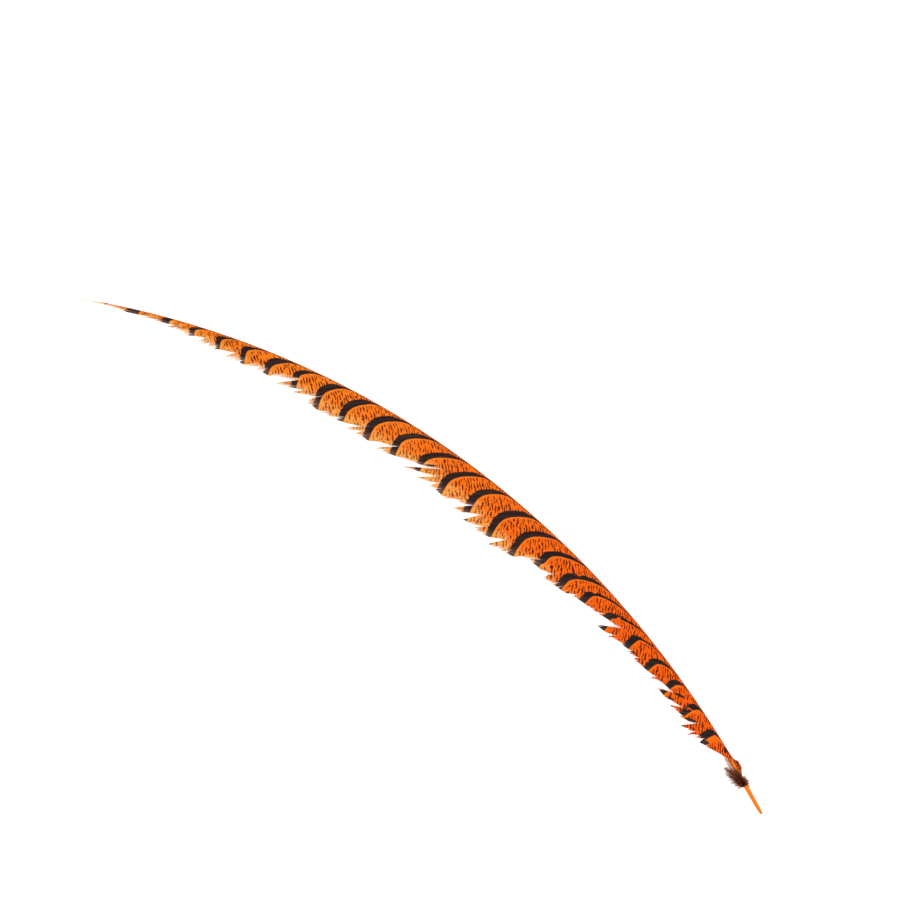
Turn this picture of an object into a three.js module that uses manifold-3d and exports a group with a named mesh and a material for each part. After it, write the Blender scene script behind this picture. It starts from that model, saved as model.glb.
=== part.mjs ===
// A long, curved pheasant tail feather that lies on a flat surface. Millimetres, +Z up.
//
// The feather is described in its own two directions. s runs along the outer (convex) edge of
// the shaft, from the quill's end to the tip. v runs across, from that edge towards the broad
// vane, and is horizontal. edgePoint(s) turns them into x and y.

import * as THREE from 'three';
import { mergeVertices } from 'three/addons/utils/BufferGeometryUtils.js';
import Module from 'manifold-3d';

// Driving dimensions

const FEATHER_LENGTH = 762;
const SHAFT_LENGTH = 748;
const SHAFT_SIDES = 10;
const SHAFT_STEP = 12;
const VANE_THICKNESS = 0.6;
const PIECE_GAP = 0.32;
const FLOOR_CLEARANCE = 0.08;

// The way the shaft points at each quarter of its length, in degrees from +X.
const QUARTER_HEADINGS = [-25.8, -13.7, -0.6, 13.6, 27.5];

// Each list below holds pairs of a place along the shaft and a value there.
const SHAFT_RADIUS = [[0, 1.0], [4, 1.45], [15, 1.75], [32, 1.95], [90, 1.75], [200, 1.45],
  [400, 1.05], [600, 0.65], [700, 0.4], [748, 0.2]];
const SHAFT_LIFT = [[0, 0], [44, 0], [120, 3.2], [220, 7], [380, 8.5], [520, 7.4], [640, 3.8],
  [720, 0.8], [762, 0.1]];
const BARB_ANGLE = [[50, 50], [170, 46], [340, 42], [510, 35], [600, 26], [660, 16], [720, 10]];
const VANE_REACH = [[50, 7], [85, 17], [140, 21], [220, 24], [300, 36], [345, 40], [425, 34],
  [510, 28], [600, 17], [660, 9], [715, 4], [762, 1]];
const NARROW_SPREAD = [[47, 2.3], [56, 1.6], [75, 0.5], [140, 0.1], [748, 0.1]];

const BROAD_VANE_FOOT = 53;
const BROAD_VANE_INNER_EDGE = 1.1;
const BARB_LINE_STEP = 7;
const CELLS_ALONG_BARB = 6;
const FALL_EVEN = 0.55;
const FALL_CURVED = 0.45;
const NARROW_VANE_TOP = 0.3;
const NARROW_CELLS = 2;
const ROOT_PASSES = 6;

// The broad vane's flags, from the quill to the tip. Each has its outline along the margin, from
// its first barb to its longest one, and the notch where it parts from the next flag.
const FLAGS = [
  { margin: [[57, 4.5], [81, 17]], notch: [83, 11] },
  { margin: [[86, 16], [102, 22.5]], notch: [95.5, 10] },
  { margin: [[103, 17], [124, 21]], notch: [117, 15] },
  { margin: [[124, 18], [141, 20.5]], notch: [130.5, 12] },
  { margin: [[140, 14], [175, 22], [204, 27], [217, 27.5]], notch: [203, 14.5] },
  { margin: [[218, 17.5], [247, 25], [260, 29.5], [282, 33]], notch: [279, 27] },
  { margin: [[285, 29], [304, 30.5]], notch: [293, 22.5] },
  { margin: [[303, 30], [315, 38], [336.5, 43]], notch: [327, 29.5] },
  { margin: [[340, 38], [369, 40.8]], notch: [358.5, 27.5] },
  { margin: [[369.5, 33.5], [384.5, 39.5]], notch: [369, 26] },
  { margin: [[377, 30], [405, 34.5], [424.5, 35]], notch: [409.5, 24.5] },
  { margin: [[425.5, 30], [444.5, 35.8]], notch: [419, 19] },
  { margin: [[427, 24], [459, 32], [471, 33]], notch: [453, 22] },
  { margin: [[465, 27], [494, 32], [504, 31]], notch: [490.5, 23.5] },
  { margin: [[505, 27.5], [547, 26]], notch: [538.5, 20] },
  { margin: [[549, 21.5], [578, 23]], notch: [563, 15.5] },
  { margin: [[565, 14.5], [607, 18], [627, 16.5]], notch: [617.5, 11.5] },
  { margin: [[632, 13], [653.5, 12]], notch: [646, 7.2] },
  { margin: [[656, 8.2], [680, 7.2]], notch: [672, 5] },
  { margin: [[681, 5.2], [704, 4.7]], notch: [693, 2.6] },
  { margin: [[705, 3.4], [732, 2.2], [762, 0.9]], notch: null },
];

const TUFT_CENTER = { s: 36.5, v: 3.4, z: 2.9 };
const TUFT_HALF_SIZE = { along: 9.5, across: 7.5, up: 3.6 };
const TUFT_SIDES = 18;
const TUFT_RINGS = 12;
const HOLE_OVERRUN = 4;
const TABLE_SIZE = 80;
const TABLE_THICKNESS = 20;

// Smooth value at x through a list of [x, value] pairs. Between two pairs it never goes past
// either value, because the slope is level where the list stops rising or falling.
function smoothAt(pairs, x) {
  const last = pairs.length - 1;
  const at = THREE.MathUtils.clamp(x, pairs[0][0], pairs[last][0]);
  let i = 0;
  while (i < last - 1 && at > pairs[i + 1][0]) i += 1;
  const steepness = (k) => (pairs[k + 1][1] - pairs[k][1]) / (pairs[k + 1][0] - pairs[k][0]);
  const slope = (k) => {
    const before = steepness(Math.max(k - 1, 0));
    const after = steepness(Math.min(k, last - 1));
    return before * after > 0 ? (2 * before * after) / (before + after) : 0;
  };
  const span = pairs[i + 1][0] - pairs[i][0];
  const t = (at - pairs[i][0]) / span;
  const leave = t * (1 - t) * (1 - t) * span * slope(i);
  const arrive = t * t * (t - 1) * span * slope(i + 1);
  return THREE.MathUtils.lerp(pairs[i][1], pairs[i + 1][1], t * t * (3 - 2 * t)) + leave + arrive;
}

// Heading at s, in radians: the shaft is four arcs that meet without a corner.
function headingAt(s) {
  const quarter = THREE.MathUtils.clamp(s / FEATHER_LENGTH, 0, 1) * 4;
  const i = Math.min(Math.floor(quarter), 3);
  const degrees = THREE.MathUtils.lerp(QUARTER_HEADINGS[i], QUARTER_HEADINGS[i + 1], quarter - i);
  return THREE.MathUtils.degToRad(degrees);
}

// The outer edge of the shaft as points one millimetre apart.
const edgePoints = [new THREE.Vector2(0, 0)];
for (let s = 0; s < FEATHER_LENGTH; s += 1) {
  const heading = headingAt(s + 0.5);
  const step = new THREE.Vector2(Math.cos(heading), Math.sin(heading));
  edgePoints.push(edgePoints[s].clone().add(step));
}

function edgePoint(s) {
  const i = Math.min(Math.floor(s), FEATHER_LENGTH - 1);
  return edgePoints[i].clone().lerp(edgePoints[i + 1], s - i);
}

function place(s, v, z) {
  const edge = edgePoint(s);
  const heading = headingAt(s);
  return new THREE.Vector3(edge.x - v * Math.sin(heading), edge.y + v * Math.cos(heading), z);
}

// Height of the shaft's middle: its lowest facet rests on the lift.
function shaftMiddle(s) {
  return smoothAt(SHAFT_RADIUS, s) * Math.cos(Math.PI / SHAFT_SIDES) + smoothAt(SHAFT_LIFT, s);
}

function bufferGeometry(points, triangles) {
  const geometry = new THREE.BufferGeometry();
  geometry.setFromPoints(points);
  geometry.setIndex(triangles.flat());
  geometry.computeVertexNormals();
  return geometry;
}

// Tapered tube round the shaft's middle line from one place to another. extra makes it wider.
function shaftTube(from, to, extra) {
  const rings = Math.ceil((to - from) / SHAFT_STEP);
  const points = [];
  const triangles = [];
  for (let i = 0; i <= rings; i += 1) {
    const s = THREE.MathUtils.lerp(from, to, i / rings);
    const radius = smoothAt(SHAFT_RADIUS, s);
    for (let k = 0; k < SHAFT_SIDES; k += 1) {
      const angle = ((k - 0.5) / SHAFT_SIDES) * 2 * Math.PI - Math.PI / 2;
      const v = radius + (radius + extra) * Math.cos(angle);
      points.push(place(s, v, shaftMiddle(s) + (radius + extra) * Math.sin(angle)));
    }
  }
  for (let i = 0; i < rings; i += 1) {
    for (let k = 0; k < SHAFT_SIDES; k += 1) {
      const a = i * SHAFT_SIDES + k;
      const b = i * SHAFT_SIDES + ((k + 1) % SHAFT_SIDES);
      triangles.push([a, b, a + SHAFT_SIDES], [b, b + SHAFT_SIDES, a + SHAFT_SIDES]);
    }
  }
  const lastRing = rings * SHAFT_SIDES;
  for (let k = 1; k < SHAFT_SIDES - 1; k += 1) {
    triangles.push([0, k + 1, k], [lastRing, lastRing + k, lastRing + k + 1]);
  }
  return bufferGeometry(points, triangles);
}

// Closed plate from one sheet of triangles: a second sheet is laid at the given offset from
// each point, and a rim joins them along every edge that only one triangle uses.
function plate(upper, offsets, faces) {
  const count = upper.length;
  const points = [...upper, ...upper.map((point, i) => point.clone().add(offsets[i]))];
  const triangles = [...faces, ...faces.map(([a, b, c]) => [a + count, c + count, b + count])];
  const used = new Set();
  for (const [a, b, c] of faces) {
    used.add(`${a},${b}`).add(`${b},${c}`).add(`${c},${a}`);
  }
  for (const edge of used) {
    const [a, b] = edge.split(',').map(Number);
    if (!used.has(`${b},${a}`)) {
      triangles.push([b, a, a + count], [b, a + count, b + count]);
    }
  }
  return bufferGeometry(points, triangles);
}

// Height of the broad vane's middle sheet: it is level over the shaft, and curves down from
// there to the surface that the feather lies on.
function broadVaneHeight(s, v) {
  const radius = smoothAt(SHAFT_RADIUS, s);
  const top = shaftMiddle(s) + radius + PIECE_GAP + VANE_THICKNESS;
  const low = FLOOR_CLEARANCE + VANE_THICKNESS / 2;
  const beyondShaft = (v - 2 * radius) / (smoothAt(VANE_REACH, s) - 2 * radius);
  const across = THREE.MathUtils.clamp(beyondShaft, 0, 1);
  const fall = FALL_EVEN * across + FALL_CURVED * across * across;
  return THREE.MathUtils.lerp(top, low, fall);
}

// Point at share t of the way along a flag's margin.
function alongMargin(margin, t) {
  const lengths = margin.slice(1).map(([s, v], i) => Math.hypot(s - margin[i][0], v - margin[i][1]));
  let left = t * lengths.reduce((sum, length) => sum + length, 0);
  let i = 0;
  while (i < lengths.length - 1 && left > lengths[i]) {
    left -= lengths[i];
    i += 1;
  }
  const share = left / lengths[i];
  return margin[i].map((value, axis) => THREE.MathUtils.lerp(value, margin[i + 1][axis], share));
}

// Where a barb that passes through a point at (s, v) leaves the shaft.
function rootOf([s, v]) {
  let root = s;
  for (let i = 0; i < ROOT_PASSES; i += 1) {
    const lean = THREE.MathUtils.degToRad(smoothAt(BARB_ANGLE, root));
    root = s - (v - BROAD_VANE_INNER_EDGE) / Math.tan(lean);
  }
  return root;
}

// The broad vane is a net of barb lines. Both sides of a notch share their points up to it and
// have their own beyond it.
function broadVaneGeometry() {
  const upper = [];
  const faces = [];
  let shared = null;
  FLAGS.forEach((flag, number) => {
    const before = number > 0 ? FLAGS[number - 1] : null;
    const first = before ? rootOf(before.notch) : BROAD_VANE_FOOT;
    const last = flag.notch ? rootOf(flag.notch) : SHAFT_LENGTH;
    const lines = Math.max(1, Math.round((last - first) / BARB_LINE_STEP));
    let previous = null;
    for (let i = 0; i <= lines; i += 1) {
      const root = THREE.MathUtils.lerp(first, last, i / lines);
      const tip = alongMargin(flag.margin, i / lines);
      const sharedUpTo = i === 0 && before ? before.notch[1] / tip[1] : -1;
      const line = [];
      for (let k = 0; k <= CELLS_ALONG_BARB; k += 1) {
        const t = k / CELLS_ALONG_BARB;
        if (t <= sharedUpTo) {
          line.push(shared[k]);
        } else {
          const s = THREE.MathUtils.lerp(root, tip[0], t);
          const v = THREE.MathUtils.lerp(BROAD_VANE_INNER_EDGE, tip[1], t);
          line.push(upper.length);
          upper.push(place(s, v, broadVaneHeight(s, v) + VANE_THICKNESS / 2));
        }
      }
      if (previous) {
        for (let k = 0; k < CELLS_ALONG_BARB; k += 1) {
          const [a, b, c, d] = [previous[k], line[k], line[k + 1], previous[k + 1]];
          faces.push([a, b, c], [a, c, d]);
        }
      }
      previous = line;
    }
    shared = previous;
  });
  const down = new THREE.Vector3(0, 0, -VANE_THICKNESS);
  return plate(upper, upper.map(() => down), faces);
}

// The narrow vane is one plate from the shaft's outer side down to the surface.
function narrowVaneGeometry() {
  const upper = [];
  const offsets = [];
  const faces = [];
  const start = NARROW_SPREAD[0][0];
  const lines = Math.round((SHAFT_LENGTH - start) / BARB_LINE_STEP);
  for (let i = 0; i <= lines; i += 1) {
    const s = THREE.MathUtils.lerp(start, SHAFT_LENGTH, i / lines);
    const top = shaftMiddle(s) + NARROW_VANE_TOP * smoothAt(SHAFT_RADIUS, s) + PIECE_GAP;
    const spread = smoothAt(NARROW_SPREAD, s);
    for (let k = 0; k <= NARROW_CELLS; k += 1) {
      const t = k / NARROW_CELLS;
      const v = -PIECE_GAP - spread * t;
      upper.push(place(s, v, THREE.MathUtils.lerp(top, FLOOR_CLEARANCE, t)));
      offsets.push(place(s, v - VANE_THICKNESS, 0).sub(place(s, v, 0)));
    }
  }
  for (let i = 0; i < lines; i += 1) {
    for (let k = 0; k < NARROW_CELLS; k += 1) {
      const a = i * (NARROW_CELLS + 1) + k;
      const b = a + NARROW_CELLS + 1;
      faces.push([a, b + 1, a + 1], [a, b, b + 1]);
    }
  }
  return plate(upper, offsets, faces);
}

// Solid of manifold-3d from a closed geometry, and back.
const wasm = await Module();
wasm.setup();

function toSolid(geometry) {
  const bare = geometry.clone();
  bare.deleteAttribute('normal');
  bare.deleteAttribute('uv');
  const merged = mergeVertices(bare);
  return new wasm.Manifold(new wasm.Mesh({
    numProp: 3,
    vertProperties: new Float32Array(merged.attributes.position.array),
    triVerts: new Uint32Array(merged.index.array),
  }));
}

function toGeometry(solid) {
  const { vertProperties, triVerts } = solid.getMesh();
  const geometry = new THREE.BufferGeometry();
  geometry.setAttribute('position', new THREE.BufferAttribute(vertProperties, 3));
  geometry.setIndex(new THREE.BufferAttribute(triVerts, 1));
  geometry.computeVertexNormals();
  return geometry;
}

// The down is a flattened ball round the shaft, with a hole where the shaft goes through it.
function downTuftGeometry() {
  const ball = new THREE.SphereGeometry(1, TUFT_SIDES, TUFT_RINGS);
  ball.rotateX(Math.PI / 2);
  ball.scale(TUFT_HALF_SIZE.along, TUFT_HALF_SIZE.across, TUFT_HALF_SIZE.up);
  ball.rotateZ(headingAt(TUFT_CENTER.s));
  const middle = place(TUFT_CENTER.s, TUFT_CENTER.v, TUFT_CENTER.z);
  ball.translate(middle.x, middle.y, middle.z);
  const reach = TUFT_HALF_SIZE.along + HOLE_OVERRUN;
  const hole = shaftTube(TUFT_CENTER.s - reach, TUFT_CENTER.s + reach, PIECE_GAP);
  const table = new THREE.BoxGeometry(TABLE_SIZE, TABLE_SIZE, TABLE_THICKNESS);
  table.translate(middle.x, middle.y, FLOOR_CLEARANCE - TABLE_THICKNESS / 2);
  return toGeometry(toSolid(ball).subtract(toSolid(hole)).subtract(toSolid(table)));
}

function plainMaterial(color, roughness) {
  return new THREE.MeshStandardMaterial({ color, roughness, metalness: 0 });
}

const hornMaterial = plainMaterial(0xf08a24, 0.35);
const webMaterial = plainMaterial(0xf4701a, 0.75);
const underWebMaterial = plainMaterial(0xc9581b, 0.8);
const downMaterial = plainMaterial(0x4a2418, 0.95);

const feather = new THREE.Group();

function addPiece(name, geometry, material) {
  const mesh = new THREE.Mesh(geometry, material);
  mesh.name = name;
  feather.add(mesh);
}

addPiece('shaft', shaftTube(0, SHAFT_LENGTH, 0), hornMaterial);
addPiece('broad_vane', broadVaneGeometry(), webMaterial);
addPiece('narrow_vane', narrowVaneGeometry(), underWebMaterial);
addPiece('down_tuft', downTuftGeometry(), downMaterial);

// The origin is under the middle of the feather's box, on the surface that it lies on.
const box = new THREE.Box3().setFromObject(feather);
const middle = box.getCenter(new THREE.Vector3());
feather.position.set(-middle.x, -middle.y, 0);

export default feather;
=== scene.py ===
import math

import bpy
import numpy as np
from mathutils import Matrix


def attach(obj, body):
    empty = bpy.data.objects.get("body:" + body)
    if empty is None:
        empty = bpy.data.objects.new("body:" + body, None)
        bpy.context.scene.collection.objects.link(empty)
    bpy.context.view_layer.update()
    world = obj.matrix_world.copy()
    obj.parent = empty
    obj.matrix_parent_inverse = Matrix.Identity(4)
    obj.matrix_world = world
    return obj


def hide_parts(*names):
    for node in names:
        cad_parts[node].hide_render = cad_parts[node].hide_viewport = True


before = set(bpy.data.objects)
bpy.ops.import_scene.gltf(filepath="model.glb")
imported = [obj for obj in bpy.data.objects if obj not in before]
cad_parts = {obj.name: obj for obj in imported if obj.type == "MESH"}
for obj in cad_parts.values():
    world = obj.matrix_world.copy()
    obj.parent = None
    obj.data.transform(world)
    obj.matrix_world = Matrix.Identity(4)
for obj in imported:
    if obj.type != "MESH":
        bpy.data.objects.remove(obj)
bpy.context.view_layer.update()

# ------------------------------------------------------------
# Shaft
# The quill and the shaft are one tapering tube of horn. The quill is bare, round and glossy with
# a blunt end; past the first barbs the shaft thins to a hair, with a groove along its underside.
# It grows in one piece, and every barb grows out of it.

# Sizes are in millimetres. s runs along the outer edge of the shaft from the quill's end, and v
# across from that edge towards the broad vane. place() turns them into metres in the frame.
MM = 0.001
FEATHER_LENGTH = 762.0
SHAFT_LENGTH = 748.0
QUARTER_HEADINGS = (-25.8, -13.7, -0.6, 13.6, 27.5)
SHAFT_RADIUS = [(0, 1.0), (4, 1.45), (15, 1.75), (32, 1.95), (90, 1.75), (200, 1.45),
                (400, 1.05), (600, 0.62), (700, 0.3), (735, 0.16), (748, 0.12)]
SHAFT_LIFT = [(0, 0), (44, 0), (120, 3.2), (220, 7), (380, 8.5), (520, 7.4), (640, 3.8),
              (720, 0.8), (762, 0.1)]
SHAFT_STATION_STEP = 2.0
SHAFT_SECTION_SIDES = 20
QUILL_END_LENGTH, QUILL_END_STATIONS, QUILL_END_BLUNT = 1.3, 7, 0.14
QUILL_END_FROM = 0.12
GROOVE_DEPTH, GROOVE_NARROWNESS = 0.28, 2.2
SHAFT_REST = 0.95
LOWEST = 0.03

QUILL_ORANGE = (0.80, 0.11, 0.001, 1)
QUILL_PALE = (0.91, 0.235, 0.005, 1)
SHAFT_BROWN = (0.26, 0.050, 0.009, 1)
# Dark brown of the shaft's spots, also laid over the narrow vane as painted shade.
DARK_SPOTS_AND_SHADE = (0.045, 0.014, 0.008, 1)
SHAFT_TIP = (0.90, 0.50, 0.30, 1)
# Where along the shaft its sides take painted shade, all of it browns, partly in its own colour and
# partly as painted shade, dark spots come and the tip pales.
SHADED_SIDES_SPAN, BROWN_SPAN, SPOTS_SPAN, TIP_SPAN = (32, 40), (46, 66), (50, 70), (690, 742)
# Shares of the pale tint: a painted highlight along the top of the horn, and its own paler fibres.
TOP_HIGHLIGHT_SHARE, PALE_FIBRE_SHARE = 0.6, 0.4
# Shares of painted shade on the sides, of the brown along the shaft (part its own colour, part
# painted shade), and of the dark spots.
SHADED_SIDES_SHARE, ALL_BROWN, SPOTS_DARK = 0.7, 0.92, 0.7


def smooth_at(pairs, x):
    """Smooth value at x through pairs of a place and a value, level where the list turns back."""
    places, values = np.array(pairs, float).T
    steepness = np.diff(values) / np.diff(places)
    before = np.concatenate((steepness[:1], steepness))
    after = np.concatenate((steepness, steepness[-1:]))
    same_way = before * after > 0
    slope = np.where(same_way, 2 * before * after / np.where(same_way, before + after, 1), 0)
    x = np.clip(x, places[0], places[-1])
    i = np.clip(np.searchsorted(places, x, side="right") - 1, 0, len(places) - 2)
    span = places[i + 1] - places[i]
    t = (x - places[i]) / span
    eased = values[i] + (values[i + 1] - values[i]) * t * t * (3 - 2 * t)
    return eased + span * (slope[i] * t * (1 - t) ** 2 + slope[i + 1] * t * t * (t - 1))


def running_total(steps):
    """Totals of the steps along the last axis, from 0."""
    totals = np.cumsum(steps, axis=-1)
    return np.concatenate((np.zeros_like(totals[..., :1]), totals), axis=-1)


def heading_at(s):
    """Heading of the shaft at s in radians: four arcs that meet without a corner."""
    quarters = np.linspace(0, FEATHER_LENGTH, len(QUARTER_HEADINGS))
    return np.radians(np.interp(s, quarters, QUARTER_HEADINGS))


edge_places = np.arange(FEATHER_LENGTH + 1)
edge_steps = heading_at(edge_places[:-1] + 0.5)
edge_x = running_total(np.cos(edge_steps))
edge_y = running_total(np.sin(edge_steps))

shaft_corners = np.array([corner.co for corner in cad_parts["shaft"].data.vertices])
quill_end = shaft_corners[shaft_corners[:, 0].argmin()] * (1, 1, 0)


def place(s, v, z):
    """Points in metres from s, v and height."""
    s, v, z = np.broadcast_arrays(s, v, z)
    heading = heading_at(s)
    x = np.interp(s, edge_places, edge_x) - v * np.sin(heading)
    y = np.interp(s, edge_places, edge_y) + v * np.cos(heading)
    return np.stack((x, y, z), axis=-1) * MM + quill_end


def shaft_radius(s):
    return smooth_at(SHAFT_RADIUS, s)


def shaft_middle(s):
    """Height of the shaft's middle line."""
    return shaft_radius(s) * SHAFT_REST + smooth_at(SHAFT_LIFT, s)


def wire(socket, value):
    """Links value to the socket if it comes from another node, or sets it there."""
    if isinstance(value, bpy.types.NodeSocket):
        socket.id_data.links.new(value, socket)
    else:
        socket.default_value = value


def add_node(kind, inputs, output=0, tree=None, **settings):
    """New node in the tree that its inputs come from, or in the one named; gives one output."""
    if tree is None:
        linked = [value for value in inputs.values() if isinstance(value, bpy.types.NodeSocket)]
        tree = linked[0].id_data
    made = tree.nodes.new(kind)
    for name, value in settings.items():
        setattr(made, name, value)
    for key, value in inputs.items():
        wire(made.inputs[key], value)
    return made.outputs[output] if len(made.outputs) else None


def maths(operation, *values):
    return add_node("ShaderNodeMath", dict(enumerate(values)), operation=operation)


def times(first, second):
    return maths("MULTIPLY", first, second)


def plus(first, second):
    return maths("ADD", first, second)


def minus(first, second):
    return maths("SUBTRACT", first, second)


def attribute(tree, name):
    """A piece's own value at each point of its surface."""
    return add_node("ShaderNodeAttribute", {}, "Fac", tree, attribute_name=name)


def object_place(tree):
    """Where each point of the surface is in the piece's own frame."""
    return add_node("ShaderNodeTexCoord", {}, "Object", tree)


def step_between(value, low, high):
    """0 below low and 1 above high, smooth between them. low may be the larger."""
    return add_node("ShaderNodeMapRange", {0: value, 1: low, 2: high},
                    interpolation_type="SMOOTHSTEP")


def layered(colour, *layers):
    """A colour with tints laid over it in turn, each by its share."""
    for share, tint in layers:
        colour = add_node("ShaderNodeMix", {0: share, 6: colour, 7: tint}, 2, data_type="RGBA")
    return colour


def vector_of(x, y, z=0.0):
    return add_node("ShaderNodeCombineXYZ", {0: x, 1: y, 2: z})


def noise(vector, scale, detail=2.0, roughness=0.5):
    return add_node("ShaderNodeTexNoise", {"Vector": vector, "Scale": scale, "Detail": detail,
                                           "Roughness": roughness})


def new_material(name):
    """Material with an empty tree and its surface shader."""
    material = bpy.data.materials.new(name)
    material.use_nodes = True
    tree = material.node_tree
    tree.nodes.clear()
    shader = tree.nodes.new("ShaderNodeBsdfPrincipled")
    add_node("ShaderNodeOutputMaterial", {"Surface": shader.outputs[0]})
    return material, tree, shader


def raise_grain(shader, height, distance, strength=1.0):
    wire(shader.inputs["Normal"], add_node(
        "ShaderNodeBump", {"Height": height, "Distance": distance, "Strength": strength}))


def new_tree(name, kinds):
    """Geometry nodes with these kinds of named inputs, and the sockets that they come in by."""
    tree = bpy.data.node_groups.new(name, "GeometryNodeTree")
    for label, kind in kinds.items():
        tree.interface.new_socket(label, in_out="INPUT", socket_type="NodeSocket" + kind)
    tree.interface.new_socket(name, in_out="OUTPUT", socket_type="NodeSocketGeometry")
    return tree, tree.nodes.new("NodeGroupInput").outputs


def end_tree(geometry, material):
    """Makes the copies real, gives them their material and sends them out of the tree."""
    real = add_node("GeometryNodeRealizeInstances", {"Geometry": geometry})
    finished = add_node("GeometryNodeSetMaterial", {"Geometry": real, "Material": material})
    add_node("NodeGroupOutput", {0: finished})
    return geometry.id_data


def stored(tree, name, data_type):
    """A line's own value at each of its points."""
    return add_node("GeometryNodeInputNamedAttribute", {"Name": name}, 0, tree, data_type=data_type)


def strand_tree():
    """Geometry nodes that sweep one closed section along each line of a mesh, its X axis up."""
    tree, sizes = new_tree("Strands", {
        "Lines": "Geometry", "Section Sides": "Int", "Section Height": "Float",
        "Groove Depth": "Float", "Material": "Material"})
    circle = add_node("GeometryNodeCurvePrimitiveCircle",
                      {"Resolution": sizes["Section Sides"], "Radius": 1.0}, mode="RADIUS")
    flatness = vector_of(sizes["Section Height"], 1.0, 1.0)
    flattened = add_node("GeometryNodeTransform", {"Geometry": circle, "Scale": flatness})
    spot = tree.nodes.new("GeometryNodeInputPosition").outputs[0]
    up, side = add_node("ShaderNodeSeparateXYZ", {0: spot}, slice(0, 2))
    groove_wall = maths("POWER", times(side, GROOVE_NARROWNESS), 2.0)
    groove_shape = maths("MAXIMUM", minus(1.0, groove_wall), 0.0)
    dent = times(times(groove_shape, maths("LESS_THAN", up, 0.0)), sizes["Groove Depth"])
    section = add_node("GeometryNodeSetPosition",
                       {"Geometry": flattened, "Offset": vector_of(dent, 0.0)})
    lines = add_node("GeometryNodeMeshToCurve", {"Mesh": sizes["Lines"]})
    upright = add_node("GeometryNodeSetCurveNormal", {
        "Curve": lines, "Normal": stored(tree, "facing", "FLOAT_VECTOR")}, mode="FREE")
    swept = add_node("GeometryNodeCurveToMesh", {
        "Curve": upright, "Profile Curve": section, "Scale": stored(tree, "width", "FLOAT"),
        "Fill Caps": True})
    return end_tree(swept, sizes["Material"])


STRANDS = strand_tree()


def put_in_scene(name, data):
    thing = bpy.data.objects.new(name, data)
    bpy.context.scene.collection.objects.link(thing)
    return thing


def lines_object(name, points, values):
    """Mesh of open lines from points in metres (lines, stations, 3), with values at each point."""
    count, stations = points.shape[:2]
    number = np.arange(count * stations).reshape(count, stations)
    edges = np.stack((number[:, :-1], number[:, 1:]), axis=-1).reshape(-1, 2)
    mesh = bpy.data.meshes.new(name)
    mesh.from_pydata(points.reshape(-1, 3), edges, [])
    for key, value in values.items():
        value = np.asarray(value, float)
        if value.ndim == 3:
            layer = mesh.attributes.new(key, "FLOAT_VECTOR", "POINT")
            layer.data.foreach_set("vector", value.ravel())
        else:
            layer = mesh.attributes.new(key, "FLOAT", "POINT")
            layer.data.foreach_set("value", np.broadcast_to(value, points.shape[:2]).ravel())
    return put_in_scene(name, mesh)


def grow(name, points, values, tree, sizes):
    """Runs a tree on lines and returns the result as a plain mesh that lies on the table."""
    lines = lines_object(name + "_lines", points, values)
    modifier = lines.modifiers.new("Grow", "NODES")
    modifier.node_group = tree
    for item in tree.interface.items_tree:
        if item.in_out == "INPUT" and item.name in sizes:
            modifier[item.identifier] = sizes[item.name]
    graph = bpy.context.evaluated_depsgraph_get()
    mesh = bpy.data.meshes.new_from_object(
        lines.evaluated_get(graph), preserve_all_data_layers=True, depsgraph=graph)
    mesh.name = name
    mesh.materials.clear()
    mesh.materials.append(sizes["Material"])
    mesh.polygons.foreach_set("material_index", np.zeros(len(mesh.polygons), int))
    lines.modifiers.remove(modifier)
    bpy.data.objects.remove(lines)
    corners = np.empty((len(mesh.vertices), 3))
    mesh.vertices.foreach_get("co", corners.ravel())
    corners[:, 2] = np.maximum(corners[:, 2], LOWEST * MM)
    mesh.vertices.foreach_set("co", corners.ravel())
    return put_in_scene(name, mesh)


def read_each(items, key, kind=float):
    values = np.empty(len(items), kind)
    items.foreach_get(key, values)
    return values


def read_corners(mesh):
    """Each corner's point, strand and place along it, and each face's first corner and count."""
    point = read_each(mesh.loops, "vertex_index", int)
    strand = read_each(mesh.attributes["strand"].data, "value")[point]
    reach = read_each(mesh.attributes["reach"].data, "value")[point]
    return (point, strand, reach, read_each(mesh.polygons, "loop_start", int),
            read_each(mesh.polygons, "loop_total", int))


STRIP_START, STRIP_LENGTH = 0.03, 0.94
STRIP_SIDE, STRIP_WIDTH = 0.04, 0.92
CAP_PLACES, CAP_HALF_WIDTH, CAP_HALF_LENGTH = (0.985, 0.015), 0.4, 0.01


def write_map(mesh, across, along):
    """UV map for the bake, from each corner's place in the unit square."""
    layer = mesh.uv_layers.new(name="OFBake")
    layer.data.foreach_set("uv", np.stack((across, along), axis=-1).ravel())


def lay_out_strips(mesh, sides, rows, strips):
    """UV map in which each strand is a strip of its own, in rows of strips."""
    point, strand, reach, first_corner, corners = read_corners(mesh)
    face_of_corner = np.repeat(np.arange(len(corners)), corners)
    turn = point % sides
    lowest = np.minimum.reduceat(turn, first_corner)[face_of_corner]
    highest = np.maximum.reduceat(turn, first_corner)[face_of_corner]
    is_cap = (corners == sides)[face_of_corner] & (sides != 4)
    crosses_seam = (highest - lowest == sides - 1) & ~is_cap
    around = (turn + np.where(crosses_seam & (turn == 0), sides, 0)) / sides
    along = STRIP_START + STRIP_LENGTH * reach
    angle = 2 * np.pi * turn / sides
    around = np.where(is_cap, 0.5 + CAP_HALF_WIDTH * np.cos(angle), around)
    cap_along = np.where(along > 0.5, *CAP_PLACES) + CAP_HALF_LENGTH * np.sin(angle)
    along = np.where(is_cap, cap_along, along)

    per_row = math.ceil(strips / rows)
    across = (strand % per_row + STRIP_SIDE + STRIP_WIDTH * around) / per_row
    write_map(mesh, across, (strand // per_row + along) / rows)


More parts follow.
